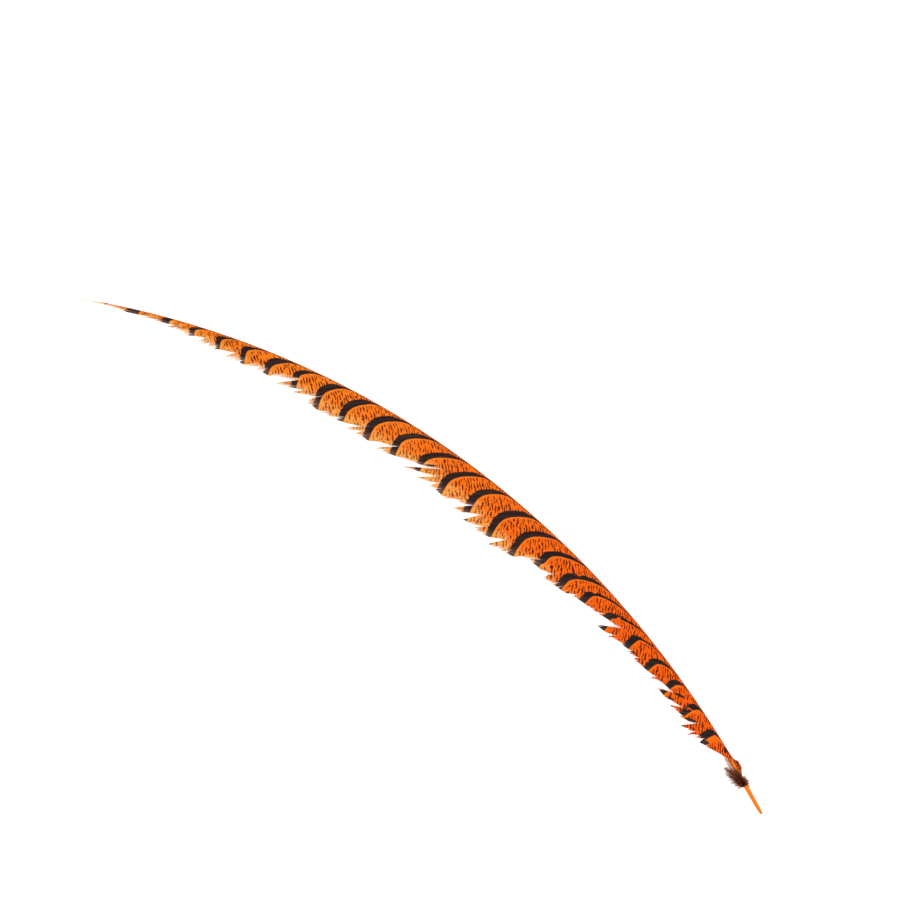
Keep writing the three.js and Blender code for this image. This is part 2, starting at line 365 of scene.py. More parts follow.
stations = np.arange(0, SHAFT_LENGTH - QUILL_END_LENGTH, SHAFT_STATION_STEP)
rounding = QUILL_END_LENGTH * (1 - np.cos(np.linspace(QUILL_END_FROM, math.pi / 2,
                                                        QUILL_END_STATIONS)))
shaft_s = np.concatenate((rounding, stations[stations > QUILL_END_LENGTH + 0.5], [SHAFT_LENGTH]))
end_share = np.clip(shaft_s / QUILL_END_LENGTH, 0, 1)
shaft_round = np.sqrt(1 - (1 - end_share) ** 2) * (1 - QUILL_END_BLUNT) + QUILL_END_BLUNT
shaft_r = shaft_radius(shaft_s)
shaft_points = place(shaft_s, shaft_r, shaft_middle(shaft_s))[None]
shaft_facing = np.zeros_like(shaft_points)
shaft_facing[..., 2] = 1

horn, tree, shader = new_material("orange_horn")
along, turn = attribute(tree, "along"), attribute(tree, "turn")
fibre_spot = vector_of(times(along, 0.05), times(turn, 9.0))
fibres = noise(fibre_spot, 3.0, 4.0)
cloud = noise(object_place(tree), 140.0, 3.0)
# The top of the horn is paler: a painted highlight along it. Its paler fibres are its own colour.
top_highlight_and_fibres = plus(times(step_between(turn, 0.35, 1.0), TOP_HIGHLIGHT_SHARE),
            times(step_between(fibres, 0.35, 0.7), PALE_FIBRE_SHARE))
# The sides darken to brown away from the top: painted shade. Past the vane's foot the whole shaft
# browns, partly its own colour and partly painted shade.
sides = times(step_between(turn, 0.98, 0.8), step_between(along, *SHADED_SIDES_SPAN))
browned_and_shaded = maths("MAXIMUM", times(step_between(along, *BROWN_SPAN), ALL_BROWN),
                times(sides, SHADED_SIDES_SHARE))
spots = times(step_between(cloud, 0.56, 0.66), step_between(along, *SPOTS_SPAN))
wire(shader.inputs["Base Color"], layered(
    QUILL_ORANGE, (top_highlight_and_fibres, QUILL_PALE), (browned_and_shaded, SHAFT_BROWN),
    (times(spots, SPOTS_DARK), DARK_SPOTS_AND_SHADE),
    (step_between(along, *TIP_SPAN), SHAFT_TIP)))
wire(shader.inputs["Roughness"], plus(0.3, times(cloud, 0.2)))
shader.inputs["Specular IOR Level"].default_value = 0.15
raise_grain(shader, fibres, 0.00006)

shaft = grow("shaft_horn", shaft_points,
             {"width": (shaft_r * shaft_round * MM)[None], "facing": shaft_facing,
              "along": shaft_s[None], "reach": (shaft_s / SHAFT_LENGTH)[None], "strand": 0},
             STRANDS, {"Section Sides": SHAFT_SECTION_SIDES, "Section Height": 1.0,
                       "Groove Depth": GROOVE_DEPTH, "Material": horn})
shaft.data.shade_smooth()
lay_out_strips(shaft.data, SHAFT_SECTION_SIDES, 1, 1)
section_point = np.arange(len(shaft.data.vertices)) % SHAFT_SECTION_SIDES
turn_layer = shaft.data.attributes.new("turn", "FLOAT", "POINT")
turn_layer.data.foreach_set("value", np.cos(2 * np.pi * section_point / SHAFT_SECTION_SIDES))
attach(shaft, "root")
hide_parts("shaft")

# ------------------------------------------------------------
# Broad vane
# The web on the inner side of the curve is nearly a thousand flat barbs that lean towards the tip.
# Tiny hooks hold each to the next; where the hooks let go the web parts into flags, and each barb
# ends in a soft pale hair. Black bars and short dark dashes cross the orange barbs.

BROAD_VANE_FOOT = 53.0
BROAD_VANE_END = 738.0
ROOT_FROM_EDGE = 0.55
FOOT_ROOTS = [(53, 2.3), (56, 1.0), (59, 0)]
BARB_SPACING, BARB_CROWDING = 0.47, 0.7
SHORTEST_BARB = 0.15
BARB_STATIONS = 18
BARB_OVERLAP = 1.3
BARB_RIDGE = 0.16
BARB_WIDTHS = (0.17, 0.68)
HAIR_THINNEST, TIP_HAIR_THINNEST = 0.09, 0.36
HAIR_LENGTH = [(50, 1.6), (200, 2.6), (300, 5), (460, 6), (540, 11), (762, 14)]
HAIR_SHARE = 0.35
HAIR_WIDTH = 0.34
HAIR_CHANCES = (0.6, 1.4)
# Barbs that end in a bar or a patch, or near the foot, have crisp ends instead of hairs.
CRISP_TO, DARK_MARGIN = 80, 1.8
CRISP_HAIR_LENGTH, CRISP_HAIR_WIDTH, CRISP_HAIR_PALE = 0.12, 1.0, 0.12
CRISP_RAGGEDNESS, CRISP_BARB_WIDTH = 0.1, 1.15
CLUMP_CHANCE, CLUMP_FROM = 0.12, 0.72
CLUMP_PULL, CRISP_CLUMP_PULL = 0.45, 0.1
RAGGEDNESS = [(60, 0.35), (250, 0.6), (420, 0.6), (520, 1.5)]
SECTION_SCALE = 1 / math.sqrt(3)
BARB_ANGLE = [(50, 50), (170, 46), (340, 42), (510, 35), (600, 26), (660, 16), (720, 10)]
VANE_REACH = [(50, 7), (85, 17), (140, 21), (220, 24), (300, 36), (345, 40), (425, 34),
              (510, 28), (600, 17), (660, 9), (715, 4), (762, 1)]
FALL_EVEN, FALL_CURVED = 0.55, 0.45
WEB_OVER_SHAFT, MARGIN_HEIGHT = 0.1, 0.3
BARB_SAG = 0.05
FLAG_LIFT, ODD_FLAG_LIFT, BARB_LIFT, BARB_ROLL = 0.3, 0.25, 0.03, 0.1

# Each flag has its outline along the margin, from its first barb to its longest one, and the
# notch where it parts from the next flag.
FLAGS = [
    ([(56.3, 3.4), (81.1, 17.1)], (81.9, 11.1)),
    ([(83.2, 14.1), (87.2, 18.9)], (86.3, 14.2)),
    ([(87.6, 16.2), (93.3, 23.1)], (90.4, 13.6)),
    ([(92.1, 17.1), (102.0, 22.6)], (95.6, 8.5)),
    ([(100.7, 14.5), (109.6, 18.8)], (105.8, 13.7)),
    ([(107.5, 16.2), (123.7, 20.9)], (117.7, 15.4)),
    ([(122.0, 15.4), (129.7, 19.6), (141.2, 20.5)], (129.7, 11.5)),
    ([(139.9, 13.7), (149.3, 15.8), (154.4, 20.5)], (150.2, 16.2)),
    ([(156.1, 17.9), (174.9, 22.2)], (173.2, 19.2)),
    ([(174.9, 19.6), (181.7, 21.3)], (180.9, 18.8)),
    ([(183.4, 20.1), (196.2, 22.6), (204.3, 27.3)], (201.4, 23.0)),
    ([(204.8, 24.7), (209.0, 26.0), (218.0, 27.7)], (203.1, 14.1)),
    ([(205.6, 14.5), (226.1, 20.1), (247.4, 24.7), (258.5, 29.0), (274.7, 31.6), (282.8, 32.8)],
     (279.0, 26.9)),
    ([(284.1, 29.0), (291.8, 29.4), (303.7, 29.9)], (292.7, 22.6)),
    ([(300.3, 27.3), (308.0, 34.1), (313.1, 37.5), (324.2, 40.5), (336.6, 43.1)], (326.8, 29.4)),
    ([(340.4, 38.4), (349.8, 40.5), (357.5, 41.0)], (350.7, 35.0)),
    ([(358.4, 39.2), (369.0, 41.0)], (358.4, 27.3)),
    ([(369.4, 33.7), (374.6, 37.1), (384.8, 39.7)], (369.4, 26.0)),
    ([(376.3, 29.4), (384.0, 32.0), (392.5, 35.8), (405.3, 34.6), (414.7, 35.8)], (404.4, 27.3)),
    ([(414.7, 33.3), (424.5, 35.0)], (409.6, 24.3)),
    ([(425.8, 30.3), (430.0, 31.1), (444.5, 35.8)], (409.6, 17.1)),
    ([(426.6, 23.9), (452.2, 30.3), (459.0, 32.0), (471.0, 33.3)], (453.1, 21.8)),
    ([(465.0, 26.5), (479.5, 31.1), (485.5, 30.3), (494.0, 32.4)], (488.9, 27.3)),
    ([(494.9, 29.9), (503.4, 31.1)], (490.6, 23.5)),
    ([(503.4, 27.3), (517.9, 29.0), (532.4, 28.2), (537.5, 26.9), (546.9, 26.0)], (538.4, 20.1)),
    ([(548.6, 21.3), (558.9, 23.9)], (548.6, 17.5)),
    ([(558.9, 20.5), (578.5, 23.0)], (563.1, 15.4)),
    ([(564.8, 14.5), (575.9, 16.2), (583.6, 19.2), (597.3, 17.1), (607.5, 17.9), (616.0, 17.1),
      (627.1, 16.6)], (617.7, 11.5)),
    ([(631.4, 12.8), (638.2, 14.9)], (633.9, 9.4)),
    ([(638.2, 13.2), (645.9, 13.2), (653.6, 11.9)], (645.9, 7.3)),
    ([(655.3, 8.4), (659.5, 9.8), (668.1, 8.1), (680.0, 7.3)], (672.3, 4.3)),
    ([(680.0, 5.1), (689.4, 5.1), (703.9, 4.7)], (692.8, 2.4)),
    ([(704.8, 3.7), (716.7, 3.9), (732.1, 2.1)], (721.8, 1.5)),
    ([(732.1, 1.6), (742.0, 0.9), (761.5, 0.5)], None),
]

# Each bar has the place of its edge towards the quill, how far that edge is drawn back beside the
# shaft, how far across the vane it straightens, and its thickness there and there.
BARS = [
    (80.4, 1.7, 8.5, 6.8, 6.9), (107.5, 4.3, 8.5, 7.3, 6.8), (134.0, 6.8, 7.7, 7.7, 6.8),
    (158.3, 17.1, 10.2, 8.5, 6.4), (184.3, 25.6, 9.0, 6.8, 6.8), (212.9, 30.7, 15.4, 5.5, 7.5),
    (238.9, 34.1, 14.5, 6.4, 7.3), (262.4, 29.0, 20.5, 6.4, 7.3), (288.8, 28.2, 17.9, 8.5, 6.8),
    (315.2, 23.9, 21.8, 7.7, 6.5), (341.3, 23.0, 23.0, 8.5, 6.8), (369.4, 20.5, 20.1, 8.1, 7.0),
    (398.4, 25.6, 24.7, 7.7, 6.8), (425.8, 29.0, 22.2, 7.9, 6.4), (452.2, 25.6, 19.2, 8.5, 6.4),
    (479.5, 23.9, 20.1, 9.0, 7.3), (506.6, 19.6, 20.5, 8.5, 6.4), (532.4, 17.9, 17.1, 9.8, 6.0),
    (557.3, 16.2, 9.8, 9.4, 6.0), (583.6, 19.6, 13.7, 11.1, 5.5), (607.8, 15.4, 7.7, 10.2, 5.4),
    (631.7, 11.9, 6.0, 7.7, 4.7), (655.9, 10.2, 4.7, 6.8, 5.1), (679.2, 2.6, 3.4, 8.0, 6.8),
    (706.6, 0.8, 2.6, 9.0, 8.6),
]
BAR_HOOK = 0.0117
BAR_THINNING = 0.2
BAR_PITCH, BAR_PASSES = 25, 60
BEFORE_FIRST_BAR, AFTER_LAST_BAR = 0.68, 0.6
BAR_TAIL, BAR_TAIL_WIDTH = 9.0, 2.6
BAR_TAIL_REACH = 7.0
FIRST_SHARE = 0.35
FLAG_SLIPS = {11: 2.9, 13: -2.1}
PALE_FROM = [(50, 0.8), (270, 0.66), (310, 0.6), (400, 0.5), (500, 0.54), (600, 0.58),
             (680, 0.2), (710, 0.3), (762, 0.6)]
PALE_SOFTNESS = 0.28
PALE_SHARE = [(50, 0), (240, 0.1), (278, 0.75), (320, 1), (700, 1), (762, 1)]

# Odd dark patches, one of them a painted shadow streak, and places where the orange runs through a
# bar: the middle along and across, half the length and width, and the turn in degrees from the
# shaft towards the margin.
DARK_PATCHES_AND_SHADOW = [
    (78.4, 13.5, 3.9, 2.2, 52), (101.5, 12.8, 5.5, 1.3, 39), (101.3, 21.3, 1.5, 0.9, 60),
    (124.5, 8.6, 4.8, 1.1, 28), (126.9, 16.8, 3.2, 0.9, 35), (135.4, 18.0, 2.4, 1.6, 45),
    (154.4, 17.9, 3.2, 0.9, 35), (179.2, 18.3, 3.4, 0.8, 15), (255.7, 27.3, 2.2, 0.8, 30),
    # The patch at 420.6 along is a painted shadow streak.
    (336.0, 42.4, 1.8, 1.0, 45), (366.9, 39.7, 2.0, 1.2, 50), (420.6, 20.5, 5.2, 0.9, 31),
    (48.8, 2.9, 1.5, 1.0, 30), (55.9, 0.8, 2.0, 0.9, 5), (63.3, 1.4, 3.8, 0.9, 10),
    (735.7, 0.5, 1.4, 0.5, 0),
]
BAR_BREAKS = [
    (84.8, 16.4, 3.0, 1.5, 50), (108.4, 17.9, 2.6, 1.2, 50),
    (110.5, 8.2, 4.4, 0.5, 22), (112.0, 10.6, 2.4, 0.4, 22), (209.5, 9.4, 1.8, 1.1, 50),
    (240.5, 9.8, 2.2, 1.4, 45), (260.8, 9.2, 3.0, 1.5, 40), (559.8, 12.2, 4.6, 0.85, 18),
]
PATCH_EDGE = (1.12, 0.88)
DASH_SPACING = [(0, 1.6), (8, 2.3), (25, 2.9)]
DASH_STEP = 2.7
DASH_JITTER = 0.2
DASH_BEND = 2.2
DASH_BREAKS, DASH_THICKNESS = (0.42, 0.55), (-0.07, 0.24)
FOOT_DASH_SPAN, FOOT_DASH_GAIN = (95, 70), 0.05
BAR_RAGGEDNESS, BAR_FRONT_SHARE = 3.6, 0.2
CLEAR_OF_BAR = (1.4, 3.4)
COMB_STEP = 18.0

WEB_BASE_ORANGE = (0.85, 0.080, 0.0010, 1)
WEB_TIP_ORANGE = (0.87, 0.19, 0.012, 1)
WEB_PALE = (0.88, 0.375, 0.08, 1)
WEB_HAIR = (0.92, 0.58, 0.38, 1)
RIM_YELLOW = (0.88, 0.25, 0.010, 1)
DASH_BROWN = (0.11, 0.010, 0.002, 1)
DASH_BLUSH = (0.50, 0.040, 0.001, 1)
BAR_BLACK = (0.026, 0.0115, 0.0105, 1)
BAR_SLATE = (0.009, 0.010, 0.009, 1)
BAR_STREAK = (0.050, 0.033, 0.029, 1)
BAR_FADED = (0.17, 0.085, 0.06, 1)
# How far each tint is mixed in, and the spans along the vane or from a barb's tip.
TIPWARD_SPAN, SLATE_SPAN, FADE_SPAN = (120, 640), (330, 250), (14, 1)
CLOUD_SHARE, MOTTLE_SHARE, BLUSH_SHARE, DASH_GAP_HIGHLIGHT_SHARE, RIM_SHARE = 0.5, 0.35, 0.6, 0.4, 0.35
PALE_LEAST, DASHES_LOST = 0.38, 0.35
SLATE_LEAST, SLATE_SHARE, STREAK_SHARE = 0.12, 0.5, 0.7
FADE_LEAST, FADE_SHARE = 0.15, 0.6
HAIR_LEAST, HAIR_PALE_SHARE, HAIR_LOST_IN_BAR = 0.15, 0.75, 0.8

chance = np.random.default_rng(27)


def straight_at(pairs, x):
    """Value at x on straight lines between pairs of a place and a value."""
    return np.interp(x, *np.array(pairs).T)


def root_edge(s):
    """How far across the shaft the barbs leave it: at its side near the foot, on top further on."""
    return np.maximum(np.minimum(ROOT_FROM_EDGE, shaft_radius(s)), straight_at(FOOT_ROOTS, s))


def vane_height(s, v):
    """The web lies over the shaft and curves down to the surface that the feather lies on."""
    radius = shaft_radius(s)
    top = shaft_middle(s) + radius + WEB_OVER_SHAFT
    across = np.clip((v - 2 * radius) / (smooth_at(VANE_REACH, s) - 2 * radius), 0, 1)
    fall = FALL_EVEN * across + FALL_CURVED * across ** 2
    from_top = np.clip(radius - v, 0, radius)
    roundness = radius - np.sqrt(radius ** 2 - from_top ** 2)
    return top + (MARGIN_HEIGHT - top) * fall - roundness


def along_margin(margin, share):
    """Point at a share of the way along a flag's outline."""
    margin = np.array(margin)
    lengths = np.hypot(*np.diff(margin, axis=0).T)
    marks = running_total(lengths) / lengths.sum()
    return np.interp(share, marks, margin[:, 0]), np.interp(share, marks, margin[:, 1])


def root_of(notch):
    """Where a barb that passes through a notch leaves the shaft."""
    root = notch[0]
    for _ in range(8):
        lean = math.radians(float(smooth_at(BARB_ANGLE, root)))
        root = notch[0] - (notch[1] - ROOT_FROM_EDGE) / math.tan(lean)
    return root


barb_roots = [BROAD_VANE_FOOT]
while barb_roots[-1] < BROAD_VANE_END:
    lean = math.radians(float(smooth_at(BARB_ANGLE, barb_roots[-1])))
    barb_roots.append(barb_roots[-1] + BARB_SPACING / math.sin(lean) ** BARB_CROWDING)
barb_roots = np.array(barb_roots)
barbs = len(barb_roots)
lean = np.radians(smooth_at(BARB_ANGLE, barb_roots))

flag_starts = np.array([BROAD_VANE_FOOT] + [root_of(notch) for _, notch in FLAGS[:-1]])
flag_ends = np.append(flag_starts[1:], BROAD_VANE_END + 0.3)
flag_of = np.clip(np.searchsorted(flag_starts, barb_roots, side="right") - 1, 0, len(FLAGS) - 1)
share_of_flag = np.clip(
    (barb_roots - flag_starts[flag_of]) / (flag_ends - flag_starts)[flag_of], 0, 1)
tips = np.array([along_margin(FLAGS[flag][0], share)
                 for flag, share in zip(flag_of, share_of_flag)])
notch_depths = np.array([4.0] + [notch[1] for _, notch in FLAGS[:-1]] + [1.0])
notch_v = notch_depths[flag_of] * (1 - share_of_flag) + notch_depths[flag_of + 1] * share_of_flag

bar_places, bar_pulls, bar_reaches, bar_first, bar_full = np.array(BARS).T


def bar_values(s, v):
    """What each point knows of the bars: its number, counted from the quill, and their sizes."""
    edge = s.copy()
    for _ in range(BAR_PASSES):
        reach = np.interp(edge, bar_places, bar_reaches)
        inner = np.clip(1 - v / reach, 0, None)
        outer = np.clip(v - reach, 0, None)
        tail = BAR_TAIL * np.clip(1 - v / BAR_TAIL_WIDTH, 0, 1) ** 2
        tail *= np.clip(reach / BAR_TAIL_REACH, 0, 1) ** 2
        back = np.interp(edge, bar_places, bar_pulls) * inner ** 2 + BAR_HOOK * outer ** 2 + tail
        edge = 0.5 * edge + 0.5 * (s + back)
    full = np.interp(edge, bar_places, bar_full)
    thick = full + (np.interp(edge, bar_places, bar_first) - full) * inner
    thick -= BAR_THINNING * full * np.clip(outer / reach, 0, 1.5)
    thick *= np.interp(v, (0.4, BAR_TAIL_WIDTH), (0.8, 1))
    places = [bar_places[0] - BAR_PITCH, *bar_places, bar_places[-1] + BAR_PITCH]
    numbers = [BEFORE_FIRST_BAR, *range(1, len(BARS) + 1), len(BARS) + AFTER_LAST_BAR]
    return {"number": np.interp(edge, places, numbers), "bar_thick": thick,
            "bar_gap": np.interp(edge, bar_places, np.gradient(bar_places))}


def ends_dark(s, v):
    """Whether a barb that ends here ends in a bar or in a dark patch."""
    values = bar_values(s, v)
    past_edge = ((values["number"] + FIRST_SHARE) % 1 - FIRST_SHARE) * values["bar_gap"]
    dark = (past_edge > -DARK_MARGIN) & (past_edge < values["bar_thick"] + DARK_MARGIN)
    for along, across, half_length, half_width, turn in DARK_PATCHES_AND_SHADOW:
        aside = (s - along + 1j * (v - across)) * np.exp(-1j * math.radians(turn))
        dark |= np.hypot(aside.real / half_length, aside.imag / half_width) < 1
    return dark


x = np.linspace(0, 1, BARB_STATIONS)
t = (0.55 * x + 0.45 * (0.5 - 0.5 * np.cos(np.pi * x)))[None]
barb_root_v = root_edge(barb_roots)
tip_s, tip_v = tips.T
tip_v = np.maximum(tip_v, barb_root_v + SHORTEST_BARB)
natural_tip = barb_roots + (tip_v - barb_root_v) / np.tan(lean)
barb_length = np.hypot(tip_s - barb_roots, tip_v - barb_root_v)
slip_of_barb = np.array([FLAG_SLIPS.get(flag, 0.0) for flag in flag_of])
crisp = ends_dark(tip_s + slip_of_barb, tip_v) | (tip_s < CRISP_TO)
raggedness = straight_at(RAGGEDNESS, barb_roots) * np.where(crisp, CRISP_RAGGEDNESS, 1)
ragged = 1 + chance.normal(0, 1, barbs) * raggedness / np.maximum(barb_length, 12)
free_from = np.clip((notch_v - barb_root_v) / (tip_v - barb_root_v), 0, 0.85)
free = np.clip((t * ragged[:, None] - free_from[:, None]) / (1 - free_from[:, None]), 0, 1.2)

# Barbs cling together in clumps whose ends draw in to one point.
clump_starts = (chance.random(barbs) < CLUMP_CHANCE) | (np.diff(flag_of, prepend=0) > 0)
clump_of = np.cumsum(clump_starts)
clump_middle = np.array([barb_roots[clump_of == clump_of[i]].mean() for i in range(barbs)])
clump_pull = (clump_middle - barb_roots) * np.where(crisp, CRISP_CLUMP_PULL, CLUMP_PULL)

barb_v = barb_root_v[:, None] + (tip_v - barb_root_v)[:, None] * t * ragged[:, None]
barb_s = barb_roots[:, None] + (barb_v - barb_root_v[:, None]) / np.tan(lean)[:, None]
barb_s += (tip_s - natural_tip)[:, None] * free ** 1.1
barb_s -= (BARB_SAG * barb_length)[:, None] * t * (1 - t)
barb_s += clump_pull[:, None] * np.clip((t - CLUMP_FROM) / (1 - CLUMP_FROM), 0, 1) ** 2
barb_s = np.minimum(barb_s, FEATHER_LENGTH - 0.3)

flag_lift = chance.uniform(0.0, FLAG_LIFT, len(FLAGS))
flag_lift[1::2] += ODD_FLAG_LIFT
barb_z = vane_height(barb_s, barb_v) + flag_lift[flag_of][:, None] * free ** 1.2
barb_z += chance.normal(0, BARB_LIFT, barbs)[:, None] * t
barb_points = place(barb_s, barb_v, barb_z)

flat = barb_points[..., :2] / MM
direction = np.gradient(flat, axis=1)
direction /= np.linalg.norm(direction, axis=-1, keepdims=True)
to_next = np.diff(flat, axis=0)
gap = np.abs(to_next[..., 0] * direction[:-1, :, 1] - to_next[..., 1] * direction[:-1, :, 0])
gap[flag_of[:-1] != flag_of[1:]] = np.nan
gap = np.nanmax(np.stack((np.vstack((gap, gap[-1:])), np.vstack((gap[:1], gap)))), axis=0)
barb_width = np.clip(gap * BARB_OVERLAP, *BARB_WIDTHS)
barb_width *= np.where(crisp, CRISP_BARB_WIDTH, 1)[:, None]
from_tip = barb_length[:, None] * (1 - t)
hair_length = smooth_at(HAIR_LENGTH, barb_roots) * chance.uniform(*HAIR_CHANCES, barbs)
hair_length = np.minimum(hair_length, barb_length * HAIR_SHARE)
hair_length *= np.where(crisp, CRISP_HAIR_LENGTH, 1)
web_share = np.clip(from_tip / hair_length[:, None], 0, 1)
tip_width = np.where(crisp, CRISP_HAIR_WIDTH, HAIR_WIDTH)[:, None]
thinnest = np.where(flag_of == len(FLAGS) - 1, TIP_HAIR_THINNEST, HAIR_THINNEST)[:, None]
barb_width = np.maximum(barb_width * (tip_width + (1 - tip_width) * web_share), thinnest)

fall_v = (vane_height(barb_s, barb_v + 0.2) - vane_height(barb_s, barb_v - 0.2)) / 0.4
roll = chance.normal(0, BARB_ROLL, barbs)[:, None]
heading = heading_at(barb_s)
slope = -fall_v + roll


def facing_of(x, y, z):
    """Unit direction that each point of a barb faces."""
    facing = np.stack(np.broadcast_arrays(x, y, z), -1)
    return facing / np.linalg.norm(facing, axis=-1, keepdims=True)


barb_facing = facing_of(-np.sin(heading) * slope, np.cos(heading) * slope, 1.0)


def pale_values(s, across_share):
    """How pale the web is near its margin, where the share across the vane is 1."""
    near = np.clip((across_share - straight_at(PALE_FROM, s)) / PALE_SOFTNESS, 0, 1)
    return straight_at(PALE_SHARE, s) * near * near * (3 - 2 * near)


barb_steps = np.hypot(*np.moveaxis(np.diff(flat, axis=1), -1, 0))
run = running_total(barb_steps)
dashes_on_barb = running_total(barb_steps / straight_at(DASH_SPACING, barb_v[:, 1:]))
root_steps = np.diff(barb_roots)
ladder_start = running_total(root_steps * np.cos(lean[1:]))[:, None]
row_place = running_total(root_steps * np.sin(lean[1:]))[:, None]
pattern_s = barb_s + slip_of_barb[:, None] * np.clip(free * 4, 0, 1)

broad_values = {
    **bar_values(pattern_s, barb_v), "along": pattern_s, "across": barb_v,
    "width": barb_width * MM * SECTION_SCALE, "facing": barb_facing,
    "reach": np.broadcast_to(t, run.shape), "strand": np.arange(barbs)[:, None],
    "ladder": ladder_start + run, "row": row_place,
    "dash_mark": ladder_start / DASH_STEP + dashes_on_barb,
    "paleness": pale_values(barb_s, barb_v / tip_v[:, None]),
    "hair": (1 - web_share) * np.where(crisp, CRISP_HAIR_PALE, 1)[:, None],
    "from_tip": from_tip, "toss": chance.random(barbs)[:, None],
}


def inside_patches(spot, patches):
    """1 inside any of the patches, and 0 outside."""
    covered = 0.0
    for along, across, half_length, half_width, turn in patches:
        local = add_node("ShaderNodeMapping", {
            "Vector": spot, "Location": (along, across, 0), "Rotation": (0, 0, math.radians(turn)),
            "Scale": (half_length, half_width, 1)}, vector_type="TEXTURE")
        from_middle = add_node("ShaderNodeVectorMath", {0: local}, "Value", operation="LENGTH")
        covered = maths("MAXIMUM", covered, step_between(from_middle, *PATCH_EDGE))
    return covered


def web_material(name, shade):
    """Orange web with black bars and dark dashes; a shade below 1 lays painted shade over all of
    it.
    """
    material, tree, shader = new_material(name)
    along, across, ladder, row, toss, from_tip, paleness = [
        attribute(tree, key)
        for key in ("along", "across", "ladder", "row", "toss", "from_tip", "paleness")]
    spot = vector_of(along, across)

    def web_noise(ladder_scale, row_scale, detail, roughness=0.5, layer=0.0):
        """Noise with one scale along the barbs and another across them."""
        stretched = vector_of(times(ladder, ladder_scale),
                              times(row, row_scale), layer)
        return noise(stretched, 1.0, detail, roughness)

    # Ground colour, redder at the foot and yellower at the tip, with soft lighter clouds.
    cloud = noise(spot, 0.05, 3.0)
    tipward = plus(step_between(along, *TIPWARD_SPAN),
                   times(minus(cloud, 0.5), CLOUD_SHARE))
    mottle = web_noise(0.175, 0.35, 2.0)
    lighter = times(step_between(mottle, 0.45, 0.75), MOTTLE_SHARE)

    # Short dashes that run from barb to barb, a little out of step on each.
    bend = web_noise(0.16, 0.15, 2.0, 0.6)
    mark = plus(attribute(tree, "dash_mark"), times(bend, DASH_BEND))
    out_of_step = times(minus(toss, 0.5), DASH_JITTER)
    phase = maths("FRACT", plus(mark, out_of_step))
    from_line = maths("ABSOLUTE", minus(phase, 0.5))
    breaks = web_noise(0.42, 0.21, 1.0, layer=4.0)
    foot = times(step_between(along, *FOOT_DASH_SPAN), FOOT_DASH_GAIN)
    thickness = add_node("ShaderNodeMapRange", dict(enumerate(
        (plus(breaks, foot), *DASH_BREAKS, *DASH_THICKNESS))))
    outside_dash = minus(from_line, thickness)
    dashes = step_between(outside_dash, 0.045, -0.03)
    blush = times(step_between(outside_dash, 0.2, -0.04), BLUSH_SHARE)
    # Midway between the dashes the ground is lighter: a painted relief highlight.
    between = times(step_between(from_line, 0.3, 0.45), DASH_GAP_HIGHLIGHT_SHARE)

    # Bars: a crisp edge with a clean rim towards the quill, a ragged one towards the tip.
    number = plus(attribute(tree, "number"), FIRST_SHARE)
    beyond = times(minus(maths("FRACT", number), FIRST_SHARE),
                   attribute(tree, "bar_gap"))
    barb_chance = noise(vector_of(times(row, 0.9), 7.7), 1.0, 3.0)
    wander = times(minus(barb_chance, 0.5), BAR_RAGGEDNESS)
    front = plus(beyond, times(wander, BAR_FRONT_SHARE))
    back = plus(minus(beyond, attribute(tree, "bar_thick")), wander)
    bars = times(step_between(front, -0.15, 0.2), step_between(back, 0.3, -0.25))
    rim = times(step_between(front, -1.9, -1.2), step_between(front, 0.1, -0.1))
    bars = times(bars, minus(1.0, inside_patches(spot, BAR_BREAKS)))
    # Dark patches take the bar colour; one of them is a painted shadow streak.
    bars = maths("MAXIMUM", bars, inside_patches(spot, DARK_PATCHES_AND_SHADOW))

    # The web pales in patches towards the margin.
    patchy = step_between(web_noise(0.06, 0.3, 2.0), 0.36, 0.56)
    pale = times(paleness, plus(PALE_LEAST, times(patchy, 1 - PALE_LEAST)))
    clear = times(step_between(maths("ABSOLUTE", front), *CLEAR_OF_BAR),
                  minus(1.0, times(pale, DASHES_LOST)))
    ground = layered(WEB_BASE_ORANGE, (tipward, WEB_TIP_ORANGE), (lighter, RIM_YELLOW),
                     (between, RIM_YELLOW), (pale, WEB_PALE),
                     (times(rim, RIM_SHARE), RIM_YELLOW),
                     (times(blush, clear), DASH_BLUSH),
                     (times(dashes, clear), DASH_BROWN))

    # The bars are slate inside near the quill, streaked barb by barb, and faded at the margin.
    inside = times(step_between(front, 0.8, 2.2), step_between(back, -0.8, -2.2))
    slate = times(inside, plus(SLATE_LEAST, times(
        step_between(along, *SLATE_SPAN), SLATE_SHARE)))
    streak = times(step_between(toss, 0.55, 1.0), STREAK_SHARE)
    faded = times(step_between(from_tip, *FADE_SPAN),
                  plus(FADE_LEAST, times(paleness, FADE_SHARE)))
    bar_colour = layered(BAR_BLACK, (slate, BAR_SLATE), (streak, BAR_STREAK),
                         (faded, BAR_FADED))

    # Each barb ends in a pale hair, less pale in a bar.
    hair = times(attribute(tree, "hair"),
                 plus(HAIR_LEAST, times(paleness, HAIR_PALE_SHARE)))
    hair = times(hair, minus(1.0, times(bars, HAIR_LOST_IN_BAR)))
    # The last layer is painted shade, laid over all of the web when shade is below 1.
    wire(shader.inputs["Base Color"], layered(
        ground, (bars, bar_colour), (hair, WEB_HAIR), (1 - shade, DARK_SPOTS_AND_SHADE)))

    # The hooked side branches are a fine slanting comb on each barb.
    comb_slant = times(plus(ladder, row), COMB_STEP)
    grain = plus(times(maths("SINE", comb_slant), 0.3), bend)
    wire(shader.inputs["Roughness"], plus(0.55, times(mottle, 0.25)))
    shader.inputs["Specular IOR Level"].default_value = 0.05
    raise_grain(shader, grain, 0.00003, 0.6)
    return material


